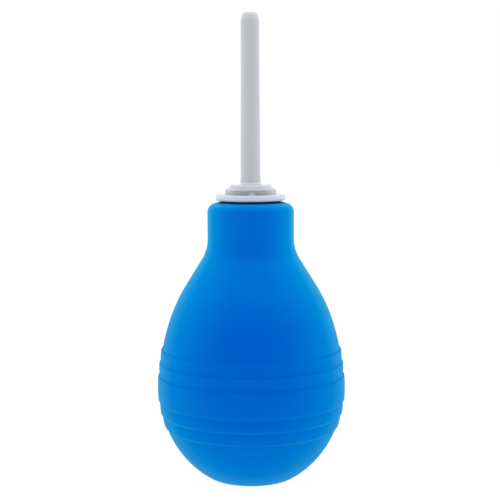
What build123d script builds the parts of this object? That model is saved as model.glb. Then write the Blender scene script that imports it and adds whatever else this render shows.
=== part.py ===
from build123d import *
import os
from math import asin, cos, sin, sqrt

# Hand-squeezed bulb aspirator, standing on its base.
# Millimetres, +Z up along the axis, origin at the centre of the flat base.

# --- bulb: outside of the soft egg and its neck ---
belly_radius = 27.5          # smooth egg at its widest
belly_height = 26.85         # height of the widest section
egg_drop = 30.0              # half axis of the lower ellipse, which the base cuts off
egg_rise = 43.7              # half axis of the upper ellipse
cone_start = 57.5            # from here up the egg runs on as a straight cone
neck_radius = 12.8
neck_top = 83.1              # top of the lip, where the flange rests
neck_blend = 11.65           # hollow curve between the cone and the neck
neck_edge = 2.6              # round of the neck's upper edge
lip_radius = 8.5             # raised lip round the mouth
lip_height = 0.32
lip_fall = 1.075             # how far the neck's end slopes down from the lip to the neck's side
base_edge = 5.0              # round of the base
curve_steps = 6              # points on each stretch of the egg's curve, less one

# --- bulb: stepped rings above and below the parting line ---
parting_height = 27.4
ring_pitch = 3.88
rings_each_side = 3
ring_far_step = 0.45         # how far a ring stands proud at its edge away from the parting line
ring_near_step = 0.07        # and at its edge towards the parting line
ring_root = 0.8              # depth of a ring's root inside the wall

# --- bulb: inside ---
wall = 2.3
floor_thickness = 3.0
mouth_radius = 7.2
mouth_blend = 9.0            # curve from the mouth into the hollow
mouth_lead = 0.5             # round at the mouth's upper edge

# --- rigid neck plug ---
flange_radius = 10.35
flange_thickness = 1.74
flange_edge = 0.22           # round of the flange's upper edge
flange_under_edge = 0.5      # and of its lower one
stem_radius = 6.7
stem_length = 10.0
stem_lead = 0.6              # chamfer at the stem's lower end
barb_count = 3
barb_start = 1.0             # below the neck's mouth
barb_pitch = 3.0
barb_length = 2.0
plug_bore = 5.0
pip_radius = 0.87            # half-round index pip on the flange, beside the hub's collar
pip_reach = 1.5
pip_edge = 0.2
pip_angle = -86.6            # about Z, counted from +X

# --- stepped nozzle hub ---
collar_radius = 7.6
wall_height = 1.43           # upright side of the collar
cone_height = 0.67           # from there the collar narrows to the disc
collar_edge = 0.4            # round between the side and the cone
disc_radius = 6.2
disc_height = 0.77
disc_edge = 0.22
shank_length = 11.0
shank_bore = 3.3
shank_wall = 1.96            # solid left between the shank's bore and the collar's top
spigot_radius = 1.95
spigot_length = 8.4
spigot_lead = 0.3
draft = 0.1                  # how much a push-fit piece thins towards its end

# --- nozzle tube ---
tip_radius = 2.71
body_radius = 2.94           # lower end of the tapered body
foot_radius = 3.06           # the body flares to this at the foot
foot_height = 2.2
foot_edge = 0.15
land_length = 12.0           # parallel length of the nozzle's end, below its rounded tip
tip_round_height = 3.5
tip_round_width = 0.85
lumen_radius = 1.2
lumen_edge = 0.25            # round at the tip's mouth
total_height = 137.7

# --- room between pieces that come apart ---
fit_gap = 0.03               # radial
face_gap = 0.02              # axial

neck_side_top = neck_top - lip_height - lip_fall
flange_top = neck_top + flange_thickness
collar_bottom = flange_top + face_gap
wall_top = collar_bottom + wall_height
collar_top = wall_top + cone_height
disc_top = collar_top + disc_height
tube_bottom = disc_top + face_gap
spigot_top = disc_top + spigot_length
shank_bottom = collar_bottom - shank_length
tip_round_start = total_height - tip_round_height


def egg_radius(height):
    """Radius of the smooth egg at a height near its widest section."""
    half_axis = egg_rise if height > belly_height else egg_drop
    return belly_radius * sqrt(1 - ((height - belly_height) / half_axis) ** 2)


def egg_curve(width, half_axis, first, last):
    """Draw a stretch of an ellipse about the widest section, between two angles in radians."""
    angles = [first + (last - first) * step / curve_steps for step in range(curve_steps + 1)]
    points = [(width * cos(angle), belly_height + half_axis * sin(angle)) for angle in angles]
    ends = [(-width * sin(angle), half_axis * cos(angle)) for angle in (first, last)]
    return Spline(*points, tangents=ends)


def egg_outline(inset, bottom, neck):
    """Draw the right half of the egg, shrunk by inset, cut flat at bottom and closed by its neck.

    neck holds the outline's corners from the top of the neck's side to its highest one.
    """
    width = belly_radius - inset
    drop = egg_drop - inset
    rise = egg_rise - inset
    lower = egg_curve(width, drop, -asin((belly_height - bottom) / drop), 0)
    upper = egg_curve(width, rise, 0, asin((cone_start - belly_height) / rise))
    cone = upper % 1
    knee = upper @ 1 + cone * ((neck[0][0] - (upper @ 1).X) / cone.X)
    Polyline(upper @ 1, knee, *neck, (0, neck_top), (0, bottom), lower @ 0)
    return knee


def ring_outline(first, last):
    """Cross-section of one stepped ring, from its edge at the parting side to its far edge."""
    near_step = ring_far_step if first == parting_height else ring_near_step
    near = egg_radius(first)
    far = egg_radius(last)
    return [
        (near - ring_root, first),
        (near + near_step, first),
        (far + ring_far_step, last),
        (far - ring_root, last),
    ]


def corner(sketch, x, y):
    """The sketch's corner nearest to a point."""
    return sketch.vertices().sort_by_distance((x, y))[0]


def rim_at(piece, radius, height):
    """The piece's circular edge nearest in radius and height."""
    rims = piece.edges().filter_by(GeomType.CIRCLE)
    return min(rims, key=lambda rim: abs(rim.radius - radius) + abs(rim.arc_center.Z - height))


# Soft bulb: one hollow moulding with a lipped neck, a flat base and stepped rings round the belly.
with BuildPart() as bulb:
    with BuildSketch(Plane.XZ) as outside:
        with BuildLine():
            knee = egg_outline(
                0, 0, [(neck_radius, neck_side_top), (lip_radius, neck_top - lip_height), (lip_radius, neck_top)]
            )
        make_face()
        fillet(corner(outside, knee.X, knee.Y), neck_blend)
        fillet(corner(outside, neck_radius, neck_side_top), neck_edge)
        fillet(corner(outside, egg_radius(0), 0), base_edge)
        for side in (1, -1):
            for count in range(rings_each_side):
                ring_start = parting_height + side * count * ring_pitch
                ring_end = ring_start + side * ring_pitch
                with BuildLine():
                    Polyline(*ring_outline(ring_start, ring_end), close=True)
                make_face()
    revolve(axis=Axis.Z)
    with BuildSketch(Plane.XZ) as inside:
        with BuildLine():
            knee = egg_outline(wall, floor_thickness, [(mouth_radius, neck_top)])
        make_face()
        fillet(corner(inside, knee.X, knee.Y), mouth_blend)
    revolve(axis=Axis.Z, mode=Mode.SUBTRACT)
    fillet(rim_at(bulb, mouth_radius, neck_top), mouth_lead)

# Rigid plug: barbed stem gripped by the neck, round flange and index pip.
with BuildPart() as neck_plug:
    with BuildSketch(Plane.XZ):
        with Locations((0, neck_top)):
            Rectangle(stem_radius, stem_length, align=(Align.MIN, Align.MAX))
        for count in range(barb_count):
            barb_top = neck_top - barb_start - count * barb_pitch
            with BuildLine():
                Polyline(
                    (0, barb_top),
                    (mouth_radius - fit_gap, barb_top),
                    (stem_radius, barb_top - barb_length),
                    (0, barb_top - barb_length),
                    close=True,
                )
            make_face()
    revolve(axis=Axis.Z)
    with BuildSketch(Plane.XY.offset(neck_top)):
        Circle(flange_radius)
    extrude(amount=flange_thickness)
    fillet(rim_at(neck_plug, flange_radius, flange_top), flange_edge)
    fillet(rim_at(neck_plug, flange_radius, neck_top), flange_under_edge)
    chamfer(neck_plug.edges().group_by(Axis.Z)[0], stem_lead)
    pip_plane = Plane(
        origin=(0, 0, flange_top),
        x_dir=(0, 0, 1),
        z_dir=Vector(1, 0, 0).rotate(Axis.Z, pip_angle),
    )
    with BuildSketch(pip_plane.offset(collar_radius + fit_gap)):
        Circle(pip_radius)
    extrude(amount=pip_reach)
    fillet(neck_plug.edges().sort_by_distance(pip_plane.offset(collar_radius + pip_reach).origin)[0], pip_edge)
    with BuildSketch(Plane.XY.offset(neck_top - stem_length)):
        Circle(plug_bore)
    extrude(amount=total_height, mode=Mode.SUBTRACT)

# Nozzle hub: tapered shank in the plug, cone-topped collar, disc and the spigot for the tube.
with BuildPart() as nozzle_hub:
    with BuildSketch(Plane.XZ) as hub_outline:
        with BuildLine():
            Polyline(
                (0, shank_bottom),
                (plug_bore - fit_gap - draft, shank_bottom),
                (plug_bore - fit_gap, collar_bottom),
                (collar_radius, collar_bottom),
                (collar_radius, wall_top),
                (disc_radius, collar_top),
                (disc_radius, disc_top),
                (spigot_radius, disc_top),
                (spigot_radius - draft, spigot_top),
                (0, spigot_top),
                close=True,
            )
        make_face()
        fillet(corner(hub_outline, collar_radius, wall_top), collar_edge)
        fillet(corner(hub_outline, disc_radius, disc_top), disc_edge)
        chamfer(corner(hub_outline, spigot_radius - draft, spigot_top), spigot_lead)
    revolve(axis=Axis.Z)
    with BuildSketch(Plane.XY.offset(shank_bottom)):
        Circle(lumen_radius)
    extrude(amount=total_height, mode=Mode.SUBTRACT)
    with BuildSketch(Plane.XY.offset(shank_bottom)):
        Circle(shank_bore)
    extrude(amount=collar_top - shank_wall - shank_bottom, mode=Mode.SUBTRACT)

# Nozzle tube: slim tapered tube with a rounded tip, a flared foot and a socket for the spigot.
with BuildPart() as nozzle_tube:
    with BuildSketch(Plane.XZ) as tube_outline:
        with BuildLine():
            tip = EllipticalCenterArc(
                (tip_radius - tip_round_width, tip_round_start), tip_round_width, tip_round_height,
                start_angle=0, arc_size=90,
            )
            Polyline(
                tip @ 1,
                (0, total_height),
                (0, tube_bottom),
                (foot_radius, tube_bottom),
                (body_radius, tube_bottom + foot_height),
                (tip_radius, tip_round_start - land_length),
                tip @ 0,
            )
        make_face()
        fillet(corner(tube_outline, foot_radius, tube_bottom), foot_edge)
    revolve(axis=Axis.Z)
    with BuildSketch(Plane.XZ):
        with BuildLine():
            Polyline(
                (0, tube_bottom),
                (spigot_radius + fit_gap, tube_bottom),
                (spigot_radius - draft + fit_gap, spigot_top + face_gap),
                (lumen_radius, spigot_top + face_gap),
                (lumen_radius, total_height),
                (0, total_height),
                close=True,
            )
        make_face()
    revolve(axis=Axis.Z, mode=Mode.SUBTRACT)
    fillet(rim_at(nozzle_tube, lumen_radius, total_height), lumen_edge)

os.makedirs("parts", exist_ok=True)
pieces = {
    "bulb": bulb,
    "neck_plug": neck_plug,
    "nozzle_hub": nozzle_hub,
    "nozzle_tube": nozzle_tube,
}
for piece_name, piece in pieces.items():
    piece.part.label = piece_name
    export_step(piece.part, f"parts/{piece_name}.step")
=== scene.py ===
from math import atan, atan2, cos, degrees, pi, radians, sin, sqrt

import bpy
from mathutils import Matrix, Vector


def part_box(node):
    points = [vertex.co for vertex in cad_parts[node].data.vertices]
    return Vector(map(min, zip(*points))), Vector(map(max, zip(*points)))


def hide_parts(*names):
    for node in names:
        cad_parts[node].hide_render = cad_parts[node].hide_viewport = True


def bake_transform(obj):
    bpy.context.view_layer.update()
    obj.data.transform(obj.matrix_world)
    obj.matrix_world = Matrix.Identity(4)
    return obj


# Looks for a hand-squeezed bulb aspirator: a soft ringed rubber bulb and a light-grey nozzle on top.
# The rigid pieces are the CAD nodes with new materials; the bulb is a finer mesh in its CAD node's place.
# Lengths are millimetres until MM turns them into metres. Colours are linear red, green, blue and alpha.

MM = 0.001

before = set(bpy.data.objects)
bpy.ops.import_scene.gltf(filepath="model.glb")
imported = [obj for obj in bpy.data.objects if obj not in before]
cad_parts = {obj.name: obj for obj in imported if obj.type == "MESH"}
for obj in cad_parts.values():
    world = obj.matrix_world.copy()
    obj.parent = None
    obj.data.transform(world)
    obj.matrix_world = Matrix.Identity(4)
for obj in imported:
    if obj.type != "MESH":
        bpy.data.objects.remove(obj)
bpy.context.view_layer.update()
bulb_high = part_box("bulb")[1]
plug_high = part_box("neck_plug")[1]
tube_low, tube_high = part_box("nozzle_tube")


# --- the bulb's shape ---

RING_STEP = 0.45                 # how far a ring stands proud at its far edge
RING_NEAR_STEP = 0.07            # and at its edge towards the parting line
NECK_TOP = bulb_high.z / MM
BELLY_RADIUS = bulb_high.x / MM - RING_STEP
BELLY_HEIGHT = 26.85
EGG_DROP = 30.0                  # half axes of the egg's lower and upper ellipse
EGG_RISE = 43.7
CONE_START = 57.5
NECK_RADIUS = 12.8
NECK_BLEND = 11.65               # hollow curve between the cone and the neck
NECK_EDGE = 2.6                  # round of the neck's upper edge
LIP_RADIUS = 8.5                 # raised lip that the flange rests on
LIP_HEIGHT = 0.32
LIP_EDGE = 0.12
END_FALL = 0.25                  # slope of the neck's end, down from the lip
BASE_EDGE = 5.0                  # round of the base
PARTING_HEIGHT = 27.4
RING_PITCH = 3.88
RINGS_EACH_SIDE = 3
LEDGE_RUN = 0.8                  # height over which one ring steps into the next
SEAM_RISE = 0.03                 # thin raised line where the two halves of the mould met
SEAM_RUN = 0.3
WALL = 2.3
FLOOR_THICKNESS = 3.0
FLOOR_EDGE = 0.02                # sliver of a chamfer between the hollow's wall and its floor
MOUTH_RADIUS = 7.2
MOUTH_BLEND = 9.0                # curve from the mouth into the hollow
MOUTH_LEAD = 0.5                 # round at the mouth's upper edge
WOBBLE = 0.05                    # how far the soft wall strays from a true circle
WOBBLE_START = 0.6               # where its two-fold part begins, in radians
WOBBLE_SHARE = 0.6               # size of its three-fold part, as a share of the two-fold one
WOBBLE_TWIST = 0.11              # radians by which the three-fold part shifts with each millimetre up

# --- the bulb's mesh: points round it, and how far apart its rows are ---

SEGMENTS = 192
BASE_ROW = 1.2
WALL_ROW = 0.4
RING_ROW = 0.13
HOLLOW_ROW = 1.0
HOLLOW_TOP_GAP = 0.3             # room between the hollow's highest row and the mouth's round
FLOOR_ROW = 1.5
BASE_ROUND_POINTS = 10
NECK_ROUND_POINTS = 16
LIP_ROUND_POINTS = 4
MOUTH_ROUND_POINTS = 6
ON_AXIS = 1e-6                   # a row this close to the axis is a single point
HALVINGS = 40                    # steps of the search for the base's round

# --- painted light and shade on the rubber: the share by which it is lighter, or darker where it is below 0 ---

CREASE_SHADES = (-0.20, -0.22, -0.30)  # painted shade in the creases of the ledges above the parting line, nearest first
EDGE_SHADES = (-0.14, -0.10, -0.22)    # and painted shade at the edges of those below it
FAR_LIGHT = 0.06                  # painted light on a sloping ring at its far edge
NEAR_SHADE = -0.08                # and painted shade at its edge towards the parting line
# painted shade along the parting line
SEAM_SHADE = -0.04
SEAM_WIDTH = 0.45
BELLY_SHADE = -0.18
BELLY_TOP = 42.0                 # height where the belly's painted shade begins to fade
NECK_START = 72.0                # and where it is gone
BASE_SHADE = -0.10                # painted shade added to the belly's at the base
BASE_FADE = 20.0                 # height where that is gone


def clamp(value):
    """A value held between 0 and 1."""
    return min(1.0, max(0.0, value))


def smooth_step(value):
    """0 below 0, 1 above 1 and a soft S between them."""
    value = clamp(value)
    return value * value * (3 - 2 * value)


def hump(value):
    """0 at 0 and 1, and 1 half way between them, along a parabola."""
    value = clamp(value)
    return 4 * value * (1 - value)


def egg_radius(height, inset):
    """Radius of the smooth egg, shrunk by inset."""
    half_axis = (EGG_RISE if height > BELLY_HEIGHT else EGG_DROP) - inset
    return (BELLY_RADIUS - inset) * sqrt(max(0.0, 1 - ((height - BELLY_HEIGHT) / half_axis) ** 2))


def ring_place(height):
    """Distance from the parting line, counted in rings."""
    return abs(height - PARTING_HEIGHT) / RING_PITCH


def across_ledge(place, ledge):
    """Share of a ledge's run that is passed at a place: under 0 before the ledge, over 1 after it."""
    return (place - ledge) * RING_PITCH / LEDGE_RUN + 0.5


def ring_rise(height):
    """How far the rings stand out of the egg: straight slopes, and a soft ledge from each to the next."""
    place = ring_place(height)
    rise = before = RING_STEP
    for ledge in range(1, RINGS_EACH_SIDE + 1):
        after = RING_NEAR_STEP + (RING_STEP - RING_NEAR_STEP) * (place - ledge)
        if ledge == RINGS_EACH_SIDE:
            after = 0.0
        rise += (after - before) * smooth_step(across_ledge(place, ledge))
        before = after
    return rise


def seam_rise(height):
    """The raised line round the widest section."""
    return SEAM_RISE * smooth_step(1 - abs(height - PARTING_HEIGHT) / SEAM_RUN)


def painted_rubber_shading(height):
    """The painted light and shade of belly, base, parting line, rings and ledges together."""
    place = ring_place(height)
    painted_shading = BELLY_SHADE * (1 - smooth_step((height - BELLY_TOP) / (NECK_START - BELLY_TOP)))
    painted_shading += BASE_SHADE * (1 - smooth_step(height / BASE_FADE))
    painted_shading += SEAM_SHADE * smooth_step(1 - place * RING_PITCH / SEAM_WIDTH)
    if 1 < place < RINGS_EACH_SIDE:
        painted_shading += NEAR_SHADE + (FAR_LIGHT - NEAR_SHADE) * (place % 1)
    ledge_shades = CREASE_SHADES if height > PARTING_HEIGHT else EDGE_SHADES
    for ledge, ledge_shade in enumerate(ledge_shades, start=1):
        painted_shading += ledge_shade * hump(across_ledge(place, ledge))
    return painted_shading


def neck_curve(inset, tube_radius, blend):
    """The cone and its curve into a tube: radius at the cone's start, slope, curve's start and end."""
    start_radius = egg_radius(CONE_START, inset)
    rise = EGG_RISE - inset
    slope = (BELLY_RADIUS - inset) ** 2 * (CONE_START - BELLY_HEIGHT) / (rise**2 * start_radius)
    angle = atan(slope)
    curve_radius = tube_radius + blend * (1 - cos(angle))
    curve_start = CONE_START + (start_radius - curve_radius) / slope
    return start_radius, slope, curve_start, curve_start + blend * sin(angle)


def shell_radius(height, inset, tube_radius, blend):
    """Radius of the egg, cone and neck at a height."""
    start_radius, slope, curve_start, curve_end = neck_curve(inset, tube_radius, blend)
    if height <= CONE_START:
        return egg_radius(height, inset)
    if height <= curve_start:
        return start_radius - slope * (height - CONE_START)
    if height <= curve_end:
        return tube_radius + blend - sqrt(blend**2 - (curve_end - height) ** 2)
    return tube_radius


def steps(first, last, size):
    """Heights or radii from first to last, about size apart."""
    count = max(1, round(abs(last - first) / size))
    return [first + (last - first) * step / count for step in range(count + 1)]


def arc(centre_r, centre_z, radius, first, last, count):
    """Points of a round, between two angles in degrees counted from outwards to upwards."""
    angles = [radians(first + (last - first) * step / count) for step in range(count + 1)]
    return [(centre_r + radius * cos(angle), centre_z + radius * sin(angle)) for angle in angles]


def base_round():
    """The round between the flat base and the egg, tangent to both.

    Its touching point on the egg is found by halving: there the round's centre is one radius up.
    """
    low_turn, high_turn = -pi / 2, 0.0
    for _ in range(HALVINGS):
        turn = (low_turn + high_turn) / 2
        lean = atan2(sin(turn) / EGG_DROP, cos(turn) / BELLY_RADIUS)
        centre_z = BELLY_HEIGHT + EGG_DROP * sin(turn) - BASE_EDGE * sin(lean)
        if centre_z > BASE_EDGE:
            high_turn = turn
        else:
            low_turn = turn
    centre_r = BELLY_RADIUS * cos(turn) - BASE_EDGE * cos(lean)
    return arc(centre_r, BASE_EDGE, BASE_EDGE, -90, degrees(lean), BASE_ROUND_POINTS)


def outer_wall(first, last):
    """Points up the wall between two heights, closest together within the rings."""
    reach = RINGS_EACH_SIDE * RING_PITCH + LEDGE_RUN
    rings_low = PARTING_HEIGHT - reach
    rings_high = PARTING_HEIGHT + reach
    heights = steps(first, rings_low, WALL_ROW)[1:]
    heights += steps(rings_low, rings_high, RING_ROW)[1:]
    heights += steps(rings_high, last, WALL_ROW)[1:-1]
    points = []
    for height in heights:
        smooth = shell_radius(height, 0, NECK_RADIUS, NECK_BLEND)
        points.append((smooth + ring_rise(height) + seam_rise(height), height))
    return points


def neck_end(round_r, round_z):
    """The neck's round, about the given centre, then the rounds of the lip's two corners and the mouth."""
    lip_foot = NECK_TOP - LIP_HEIGHT
    mouth_r = MOUTH_RADIUS + MOUTH_LEAD
    mouth_z = NECK_TOP - MOUTH_LEAD
    slope = degrees(atan(END_FALL))
    points = arc(round_r, round_z, NECK_EDGE, 0, 90 - slope, NECK_ROUND_POINTS)
    points += arc(LIP_RADIUS + LIP_EDGE, lip_foot + LIP_EDGE, -LIP_EDGE, 90, 0, LIP_ROUND_POINTS)
    points += arc(LIP_RADIUS - LIP_EDGE, NECK_TOP - LIP_EDGE, LIP_EDGE, 0, 90, LIP_ROUND_POINTS)
    return points + arc(mouth_r, mouth_z, MOUTH_LEAD, 90, 180, MOUTH_ROUND_POINTS)


def hollow():
    """The hollow's wall from the mouth down, and its floor in to the axis."""
    heights = steps(FLOOR_THICKNESS + FLOOR_EDGE, NECK_TOP - MOUTH_LEAD - HOLLOW_TOP_GAP, HOLLOW_ROW)
    heights.reverse()
    points = [(shell_radius(height, WALL, MOUTH_RADIUS, MOUTH_BLEND), height) for height in heights]
    floor_radii = steps(0, points[-1][0], FLOOR_ROW)[:-1]
    return points + [(radius, FLOOR_THICKNESS) for radius in reversed(floor_radii)]


def bulb_profile():
    """The bulb's closed half-section: outside from the base's centre to the mouth, then the inside."""
    base_edge = base_round()
    base = [(radius, 0.0) for radius in steps(0, base_edge[0][0], BASE_ROW)[:-1]]
    round_r = NECK_RADIUS - NECK_EDGE
    end_z = NECK_TOP - LIP_HEIGHT - END_FALL * (round_r - LIP_RADIUS)
    round_z = end_z - NECK_EDGE * sqrt(1 + END_FALL**2)
    wall = outer_wall(base_edge[-1][1], round_z)
    return base + base_edge + wall + neck_end(round_r, round_z) + hollow()


def soft_wobble(turn, height):
    """A slow stray of the soft wall from a true circle, none at the base and the neck."""
    belly = sin(pi * clamp(height / CONE_START)) ** 2
    stray = sin(2 * turn + WOBBLE_START) + WOBBLE_SHARE * sin(3 * turn + WOBBLE_TWIST * height)
    return WOBBLE * belly * stray


def lathe_faces(rows):
    """Faces between neighbouring rows of points round the axis, with fans at rows of a single point."""
    faces = []
    for below, above in zip(rows[:-1], rows[1:]):
        for step in range(SEGMENTS):
            after = (step + 1) % SEGMENTS
            if len(below) == 1:
                faces.append((below[0], above[after], above[step]))
            elif len(above) == 1:
                faces.append((below[step], below[after], above[0]))
            else:
                faces.append((below[step], below[after], above[after], above[step]))
    return faces


def lathe(name, profile):
    """Turn a closed half-section about the axis into a mesh in metres.

    Each point keeps its painted shading, so that it stays on the rings when the rubber is squeezed.
    """
    verts = []
    painted_shadings = []
    rows = []
    for radius, height in profile:
        first = len(verts)
        if radius < ON_AXIS:
            verts.append((0, 0, height * MM))
            painted_shadings.append(0.0)
        else:
            for step in range(SEGMENTS):
                turn = 2 * pi * step / SEGMENTS
                reach = radius + soft_wobble(turn, height)
                verts.append((reach * cos(turn) * MM, reach * sin(turn) * MM, height * MM))
            painted_shadings += [painted_rubber_shading(height)] * SEGMENTS
        rows.append(range(first, len(verts)))
    mesh = bpy.data.meshes.new(name)
    mesh.from_pydata(verts, [], lathe_faces(rows))
    mesh.shade_smooth()
    mesh.attributes.new("painted_shading", "FLOAT", "POINT").data.foreach_set("value", painted_shadings)
    piece = bpy.data.objects.new(name, mesh)
    bpy.context.scene.collection.objects.link(piece)
    return piece


# --- node trees ---

class NodeTree:
    """A short way to build the node tree of a material or a world."""

    def __init__(self, owner):
        owner.use_nodes = True
        self.nodes = owner.node_tree.nodes
        self.links = owner.node_tree.links
        self.nodes.clear()

    def add(self, kind, **settings):
        node = self.nodes.new(kind)
        for key, value in settings.items():
            setattr(node, key, value)
        return node

    def put(self, socket, value):
        """Link a socket to another node's output, or set it to a plain value."""
        if isinstance(value, bpy.types.NodeSocket):
            self.links.new(value, socket)
        else:
            socket.default_value = value

    def fill(self, node, **inputs):
        """Put a node's inputs, whose names are written with _ for a space."""
        for key, value in inputs.items():
            self.put(node.inputs[key.replace("_", " ")], value)
        return node

    def fill_in_order(self, node, *values):
        for socket, value in zip(node.inputs, values):
            self.put(socket, value)
        return node

    def place(self):
        return self.add("ShaderNodeTexCoord").outputs["Object"]

    def place_axes(self):
        """The place's X, Y and Z outputs."""
        return self.fill(self.add("ShaderNodeSeparateXYZ"), Vector=self.place()).outputs

    def height(self):
        return self.place_axes()["Z"]

    def radius(self):
        """Distance from the object's axis."""
        axes = self.place_axes()
        squares = [self.math("MULTIPLY", axes[axis], axes[axis]) for axis in "XY"]
        return self.math("SQRT", self.math("ADD", *squares))

    def facing(self):
        """0 where the surface faces the eye, rising to 1 at grazing angles."""
        return self.fill(self.add("ShaderNodeLayerWeight"), Blend=0.5).outputs["Facing"]

    def noise(self, scale, detail, roughness=0.5):
        """Soft noise about 0.5, with scale blots to the metre."""
        node = self.add("ShaderNodeTexNoise")
        self.fill(node, Vector=self.place(), Scale=scale, Detail=detail, Roughness=roughness)
        return node.outputs["Fac"]

    def specks(self, scale, core, edge, pick_low, pick_high):
        """1 within the core of small specks, 0 past their edge; only picked cells have one."""
        cells = self.add("ShaderNodeTexVoronoi")
        self.fill(cells, Vector=self.place(), Scale=scale, Randomness=1.0)
        near = self.ramp(cells.outputs["Distance"], core, edge, 1.0, 0.0)
        pick = self.fill(self.add("ShaderNodeSeparateColor"), Color=cells.outputs["Color"])
        picked = self.ramp(pick.outputs["Red"], pick_low, pick_high, 0.0, 1.0)
        return self.math("MULTIPLY", near, picked)

    def ramp(self, value, low, high, low_out, high_out, smooth=False):
        """low_out up to low, high_out from high on, and a slope between them."""
        node = self.add("ShaderNodeMapRange", interpolation_type="SMOOTHSTEP" if smooth else "LINEAR")
        self.fill(node, Value=value, From_Min=low, From_Max=high, To_Min=low_out, To_Max=high_out)
        return node.outputs["Result"]

    def ramp_mm(self, length, low, high, low_out, high_out, smooth=False):
        """A ramp of a length, whose low and high are given in millimetres."""
        return self.ramp(length, low * MM, high * MM, low_out, high_out, smooth)

    def math(self, operation, *values):
        node = self.add("ShaderNodeMath", operation=operation)
        return self.fill_in_order(node, *values).outputs["Value"]

    def vector(self, operation, *values, output="Vector"):
        node = self.add("ShaderNodeVectorMath", operation=operation)
        return self.fill_in_order(node, *values).outputs[output]

    def dot(self, first, second):
        return self.vector("DOT_PRODUCT", first, second, output="Value")

    def mix(self, share, first, second):
        """The first colour with a share of the second."""
        node = self.add("ShaderNodeMix", data_type="RGBA")
        self.fill(node, Factor=share, A=first, B=second)
        return node.outputs["Result"]

    def skin(self, layers):
        """Bumps laid over one another, each from its noise's scale and detail, its depth and strength."""
        normal = None
        for scale, detail, depth, strength in layers:
            bump = self.add("ShaderNodeBump")
            self.fill(bump, Height=self.noise(scale, detail), Distance=depth * MM, Strength=strength)
            if normal:
                self.put(bump.inputs["Normal"], normal)
            normal = bump.outputs["Normal"]
        return normal

    def shader(self, kind, **inputs):
        return self.fill(self.add("ShaderNode" + kind), **inputs).outputs[0]

    def mix_shaders(self, share, first, second):
        node = self.add("ShaderNodeMixShader")
        return self.fill_in_order(node, share, first, second).outputs["Shader"]

    def for_camera(self, seen, unseen):
        """One shader for rays from the camera, another for all light."""
        return self.mix_shaders(self.add("ShaderNodeLightPath").outputs["Is Camera Ray"], unseen, seen)

    def surface(self, shader, kind="Material"):
        self.fill(self.add("ShaderNodeOutput" + kind), Surface=shader)


# --- rubber ---

RUBBER_FRONT = (0.0, 0.137, 0.715, 1)   # where it faces the eye
RUBBER_SIDE_SHEEN = (0.0, 0.365, 0.69, 1)     # painted sheen at grazing angles
SIDE_POWER = 1.3                        # how late the first turns into the second
RUBBER_RIM_LIGHT = (0.15, 0.42, 0.62, 1)      # painted rim light, mixed in along the outline
RIM_POWER = 3
RIM_RANGE = (0.12, 0.6)                 # of facing() raised to that power
RIM_SHARE = 0.45
MOTTLE = (                              # noise scale and detail, its range, share and colour
    (70, 4, 0.3, 0.7, 0.08, (0.0, 0.11, 0.60, 1)),
    (260, 3, 0.45, 0.8, 0.06, (0.0, 0.20, 0.78, 1)),
)
SPECK_SCALE = 160                       # cells to the metre
SPECK_CORE = 0.021                      # sizes of a speck, as shares of its cell
SPECK_EDGE = 0.035
SPECK_PICK = (0.9, 0.91)                # of a cell's random number, where its speck comes in
SPECK_SHARE = 0.35
SPECK_COLOUR = (0.1, 0.4, 0.85, 1)
GAP_SHADE_COLOUR = (0.0, 0.01, 0.08, 1)       # painted shade in the narrow gap between neck and flange
GAP_SHARE = 0.8
GAP_REACH = 2.6                         # how far out from the lip the painted shade fades
GAP_LOW = 1.2                           # depths below the neck's top where it begins and is full
GAP_HIGH = 0.8
SHADING_SHARES = (1.0, 1.0, 0.2)           # how much of the painted shading the red, green and blue take
GLOSS_COLOUR = (0.0, 0.75, 1.0, 1)      # without red, which would turn the bulb's sides purple
GLOSS_RANGE = (0.1, 0.8)                # of facing()
GLOSS_SHARES = (0.055, 0.12)            # gloss at that range's two ends
RUBBER_BLOTS = (420, 4)                 # noise scale and detail, for the rubber's roughness
RUBBER_BLOT_RANGE = (0.3, 0.7)          # of that noise
RUBBER_ROUGHNESS = (0.30, 0.40)         # at that range's two ends
RUBBER_SKIN = (                         # noise scale and detail, a bump's depth and strength
    (3600, 2, 0.04, 0.25),
    (300, 4, 0.15, 0.12),
)


def rubber_colour(tree, graze):
    """Deep blue where it faces the eye, with a painted sheen that makes it paler and greener at grazing
    angles, a painted rim light along the outline, and a faint mottle.
    """
    colour = tree.mix(tree.math("POWER", graze, SIDE_POWER), RUBBER_FRONT, RUBBER_SIDE_SHEEN)
    rim_light = tree.ramp(tree.math("POWER", graze, RIM_POWER), *RIM_RANGE, 0.0, RIM_SHARE)
    colour = tree.mix(rim_light, colour, RUBBER_RIM_LIGHT)
    for scale, detail, low, high, share, tint in MOTTLE:
        colour = tree.mix(tree.ramp(tree.noise(scale, detail), low, high, 0.0, share), colour, tint)
    specks = tree.specks(SPECK_SCALE, SPECK_CORE, SPECK_EDGE, *SPECK_PICK)
    return tree.mix(tree.math("MULTIPLY", specks, SPECK_SHARE), colour, SPECK_COLOUR)


def gap_shade(tree, colour):
    """Painted shade on the rubber under the flange, beside the lip."""
    beside_lip = tree.ramp_mm(tree.radius(), LIP_RADIUS, LIP_RADIUS + GAP_REACH, 1.0, 0.0, smooth=True)
    near_top = tree.ramp_mm(tree.height(), NECK_TOP - GAP_LOW, NECK_TOP - GAP_HIGH, 0.0, GAP_SHARE)
    return tree.mix(tree.math("MULTIPLY", beside_lip, near_top), colour, GAP_SHADE_COLOUR)


def with_painted_shading(tree, colour):
    """Shade a colour by the painted light and shade that each point of the bulb carries."""
    painted_shading = tree.add("ShaderNodeAttribute", attribute_name="painted_shading").outputs["Fac"]
    shade = tree.vector("MULTIPLY_ADD", painted_shading, SHADING_SHARES, (1.0, 1.0, 1.0))
    return tree.vector("MULTIPLY", colour, shade)


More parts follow.
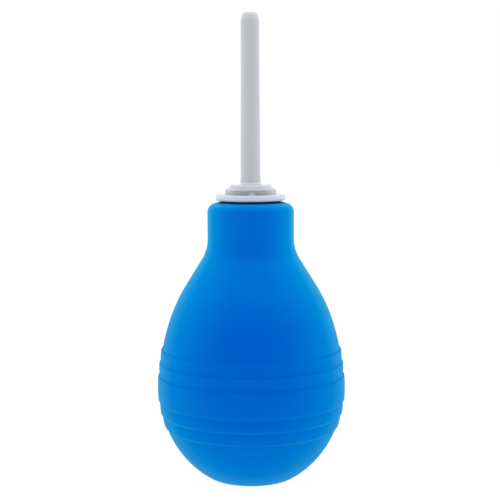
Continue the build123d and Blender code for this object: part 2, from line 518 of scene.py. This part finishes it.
def rubber():
    """Soft satin rubber: a coloured body under a thin gloss, with a fine uneven skin."""
    material = bpy.data.materials.new("bulb_rubber")
    tree = NodeTree(material)
    graze = tree.facing()
    colour = with_painted_shading(tree, gap_shade(tree, rubber_colour(tree, graze)))
    skin = tree.skin(RUBBER_SKIN)
    roughness = tree.ramp(tree.noise(*RUBBER_BLOTS), *RUBBER_BLOT_RANGE, *RUBBER_ROUGHNESS)
    body = tree.shader("BsdfDiffuse", Color=colour, Normal=skin)
    gloss = tree.shader("BsdfAnisotropic", Color=GLOSS_COLOUR, Roughness=roughness, Normal=skin)
    tree.surface(tree.mix_shaders(tree.ramp(graze, *GLOSS_RANGE, *GLOSS_SHARES), body, gloss))
    return material


# --- moulded plastic ---

# one plastic, painted lighter or darker per piece for how the light falls on each
PLUG_SHADE = 0.73
HUB_SHADE = 0.67
TUBE_SHADE = 0.58
PLASTIC_CAST = (1.0, 1.045, 1.15)       # a shade's red, green and blue: a cold light grey
CLOUD_SHADE = 0.93                      # the darker clouds in it, as a share of its colour
CLOUD_SHARE = 0.25
CLOUD_NOISE = (240, 4)                  # noise scale and detail
CLOUD_RANGE = (0.3, 0.75)
PLASTIC_BLOTS = (900, 5, 0.7)           # noise scale, detail and roughness, for the plastic's roughness
PLASTIC_BLOT_RANGE = (0.35, 0.7)
PLASTIC_ROUGHNESS = (0.34, 0.46)
PLASTIC_SKIN = (                        # noise scale and detail, a bump's depth and strength
    (5200, 2, 0.02, 0.20),
    (380, 3, 0.08, 0.10),
)
FRONT_RANGE = (0.05, 0.48)              # of facing(), where the painted dark reflection fades
FRONT_REFLECTION_COLOUR = (0.20, 0.21, 0.24, 1)

DISC_EDGE = (6.21, 6.30)                # radii, just outside the disc, between its painted light and the cone's painted shade
DISC_LIGHT_COLOUR = (0.9, 0.95, 1.0, 1)
DISC_SHARE = 0.28
CONE_SHADE_COLOUR = (0.36, 0.38, 0.42, 1)
CONE_SHARE = 0.35
COLLAR_EDGE = (6.6, 7.1)                # radii between the cone and the collar's painted dark reflection
COLLAR_FRONT = 0.50

FLANGE_THICKNESS = 1.74
PIP_RADIUS = 0.87
PLUG_BOUNCE_LIGHT = (0.60, 0.80, 0.85, 1)       # painted light of the blue rubber over the whole plug
PLUG_BOUNCE_SHARE = 0.12
FLANGE_BOUNCE_LIGHT = (0.25, 0.50, 0.74, 1)    # and more of that painted light along the flange's lower edge
FLANGE_BOUNCE_SHARE = 0.5
FLANGE_BOUNCE_RANGE = (0.1, 0.9)         # heights above the flange's underside, where that painted light fades
PIP_FRONT = 0.45
PIP_RANGE = (0.07, 0.17)                # heights above the flange, where the pip's painted dark reflection begins

# painted light on the tube: at the foot from the disc under it, at the tip from above
FOOT_LIGHT_COLOUR = (0.95, 0.96, 0.97, 1)
FOOT_SHARE = 0.9
FOOT_RANGE = (0.2, 1.0)                 # heights above the tube's lower end, where that fades
TIP_LIGHT_COLOUR = (0.98, 0.98, 0.85, 1)
TIP_SHARE = 0.42
TIP_RUN = 2.5                           # height below the top over which the tip's painted light grows


def plastic(name, shade, touch):
    """Satin moulded plastic; touch adds the painted light and shade that only one piece has."""
    material = bpy.data.materials.new(name)
    tree = NodeTree(material)
    base = [shade * share for share in PLASTIC_CAST]
    cloud = [CLOUD_SHADE * share for share in base]
    clouds = tree.ramp(tree.noise(*CLOUD_NOISE), *CLOUD_RANGE, 0.0, CLOUD_SHARE)
    body = tree.shader(
        "BsdfPrincipled",
        Base_Color=touch(tree, tree.mix(clouds, (*base, 1), (*cloud, 1))),
        Roughness=tree.ramp(tree.noise(*PLASTIC_BLOTS), *PLASTIC_BLOT_RANGE, *PLASTIC_ROUGHNESS),
        Normal=tree.skin(PLASTIC_SKIN),
        Subsurface_Weight=0.12,
        Subsurface_Scale=0.8 * MM,
        Specular_IOR_Level=0.5,
    )
    tree.surface(body)
    return material


def front_shade(tree, where, colour):
    """Painted reflection: darken a glossy upright side where it faces the eye, where it would mirror the
    tent's dark opening.
    """
    front = tree.ramp(tree.facing(), *FRONT_RANGE, 1.0, 0.0, smooth=True)
    return tree.mix(tree.math("MULTIPLY", where, front), colour, FRONT_REFLECTION_COLOUR)


def touch_hub(tree, colour):
    """Painted light on the disc, painted shade on the cone under it, and a painted dark reflection on the
    collar's side.
    """
    radius = tree.radius()
    colour = tree.mix(tree.ramp_mm(radius, *DISC_EDGE, DISC_SHARE, 0.0), colour, DISC_LIGHT_COLOUR)
    colour = tree.mix(tree.ramp_mm(radius, *DISC_EDGE, 0.0, CONE_SHARE), colour, CONE_SHADE_COLOUR)
    return front_shade(tree, tree.ramp_mm(radius, *COLLAR_EDGE, 0.0, COLLAR_FRONT), colour)


def touch_plug(tree, colour):
    """The pip with a painted dark reflection, and painted blue light of the rubber over the plug, with
    more of it on the flange's lower edge.
    """
    flange_top = plug_high.z / MM - PIP_RADIUS
    flange_low = flange_top - FLANGE_THICKNESS
    bounce = [flange_low + rise for rise in FLANGE_BOUNCE_RANGE]
    pip = [flange_top + rise for rise in PIP_RANGE]
    height = tree.height()
    colour = tree.mix(PLUG_BOUNCE_SHARE, colour, PLUG_BOUNCE_LIGHT)
    colour = tree.mix(tree.ramp_mm(height, *bounce, FLANGE_BOUNCE_SHARE, 0.0), colour, FLANGE_BOUNCE_LIGHT)
    return front_shade(tree, tree.ramp_mm(height, *pip, 0.0, PIP_FRONT), colour)


def touch_tube(tree, colour):
    """Painted light: the foot as lit by the disc under it, and the tip as lit from above."""
    foot = [tube_low.z / MM + rise for rise in FOOT_RANGE]
    top = tube_high.z / MM
    height = tree.height()
    colour = tree.mix(tree.ramp_mm(height, *foot, FOOT_SHARE, 0.0, smooth=True), colour, FOOT_LIGHT_COLOUR)
    return tree.mix(tree.ramp_mm(height, top - TIP_RUN, top, 0.0, TIP_SHARE), colour, TIP_LIGHT_COLOUR)


# --- the object ---


def dress(piece, material):
    """Give a piece one material."""
    piece.data.materials.clear()
    piece.data.materials.append(material)


def make_bulb():
    bulb = lathe("rubber_bulb", bulb_profile())
    dress(bulb, rubber())
    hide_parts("bulb")
    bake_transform(bulb)


def dress_rigid_pieces():
    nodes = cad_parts
    dress(nodes["neck_plug"], plastic("plug_plastic", PLUG_SHADE, touch_plug))
    dress(nodes["nozzle_hub"], plastic("hub_plastic", HUB_SHADE, touch_hub))
    dress(nodes["nozzle_tube"], plastic("tube_plastic", TUBE_SHADE, touch_tube))


# --- stage, light and camera ---

CAMERA_DISTANCE = 340.0
CAMERA_HEIGHT = 103.0
CAMERA_ASIDE = -0.24
CAMERA_DOWN = 5.826              # degrees
CAMERA_ROLL = 0.25
LENS = 82.93
SENSOR = 36.0
NEAREST_SEEN = 10.0
FARTHEST_SEEN = 20000.0
WHITE = (1, 1, 1, 1)
TABLE_LIGHT = 0.95               # light from straight below
TOP_LIGHT = 1.31                 # and from straight above
DARK_LIGHT = 0.38                # share of it that the tent's opening in front still gives
DARK_ELEVATION = 20.0            # how far above the horizon the opening's centre lies, in degrees
DARK_WIDTH = 1.25                # sines of the opening's half angles, across and upwards
DARK_RISE = 0.66
DARK_CORE = 0.05                 # share of the opening within which it is darkest
DARK_AHEAD = 0.2                 # cosine of the angle off its centre where it begins to be cut off
FLOOR_REACH = 3000.0
FLOOR_GLOW = 0.94                # what the camera sees of the floor without the light on it
FLOOR_GREY = (0.12, 0.12, 0.12, 1)


def tent_light(tree, direction):
    """Light of a white tent whose opening, round the camera, is darker: its strength in a direction."""
    elevation = radians(DARK_ELEVATION)
    forwards = (0, -cos(elevation), sin(elevation))
    upwards = (0, sin(elevation), cos(elevation))
    across = tree.math("DIVIDE", tree.dot(direction, (1, 0, 0)), DARK_WIDTH)
    rise = tree.math("DIVIDE", tree.dot(direction, upwards), DARK_RISE)
    away = tree.math("ADD", tree.math("MULTIPLY", across, across), tree.math("MULTIPLY", rise, rise))
    inside = tree.ramp(away, DARK_CORE, 1.0, 1.0, 0.0, smooth=True)
    ahead = tree.ramp(tree.dot(direction, forwards), 0.0, DARK_AHEAD, 0.0, 1.0)
    opening = tree.ramp(tree.math("MULTIPLY", inside, ahead), 0.0, 1.0, 1.0, DARK_LIGHT)
    overhead = tree.ramp(tree.dot(direction, (0, 0, 1)), -1.0, 1.0, TABLE_LIGHT, TOP_LIGHT)
    return tree.math("MULTIPLY", opening, overhead)


def make_world():
    """White for the camera, and the tent's light for everything else."""
    world = bpy.data.worlds.new("tent")
    tree = NodeTree(world)
    direction = tree.add("ShaderNodeTexCoord").outputs["Generated"]
    light = tree.shader("Background", Color=WHITE, Strength=tent_light(tree, direction))
    seen = tree.shader("Background", Color=WHITE, Strength=1.0)
    tree.surface(tree.for_camera(seen, light), "World")
    bpy.context.scene.world = world


def floor_material():
    """Pale table that glows as the tent's lower half, with a trace of shade where the object stands."""
    material = bpy.data.materials.new("pale_floor")
    tree = NodeTree(material)
    incoming = tree.add("ShaderNodeNewGeometry").outputs["Incoming"]
    direction = tree.vector("MULTIPLY", incoming, (-1.0, -1.0, -1.0))
    glow = tree.shader("Emission", Strength=tent_light(tree, direction))
    seen_glow = tree.shader("Emission", Strength=FLOOR_GLOW)
    cloth = tree.shader("BsdfDiffuse", Color=FLOOR_GREY)
    seen = tree.fill_in_order(tree.add("ShaderNodeAddShader"), seen_glow, cloth)
    tree.surface(tree.for_camera(seen.outputs["Shader"], glow))
    return material


def make_floor():
    reach = FLOOR_REACH * MM
    mesh = bpy.data.meshes.new("floor")
    corners = [(-reach, -reach, 0), (reach, -reach, 0), (reach, reach, 0), (-reach, reach, 0)]
    mesh.from_pydata(corners, [], [(0, 1, 2, 3)])
    floor = bpy.data.objects.new("floor", mesh)
    bpy.context.scene.collection.objects.link(floor)
    dress(floor, floor_material())


def make_camera():
    camera_data = bpy.data.cameras.new("camera")
    camera_data.lens = LENS
    camera_data.sensor_width = SENSOR
    camera_data.clip_start = NEAREST_SEEN * MM
    camera_data.clip_end = FARTHEST_SEEN * MM
    camera = bpy.data.objects.new("camera", camera_data)
    bpy.context.scene.collection.objects.link(camera)
    camera.location = (CAMERA_ASIDE * MM, -CAMERA_DISTANCE * MM, CAMERA_HEIGHT * MM)
    camera.rotation_mode = "ZYX"
    camera.rotation_euler = (radians(90 - CAMERA_DOWN), 0, radians(-CAMERA_ROLL))
    bpy.context.scene.camera = camera


def set_view():
    """Plain display colours, with no film look over them."""
    bpy.context.scene.view_settings.view_transform = "Standard"
    bpy.context.scene.view_settings.look = "None"


make_bulb()
dress_rigid_pieces()
make_world()
make_floor()
make_camera()
set_view()
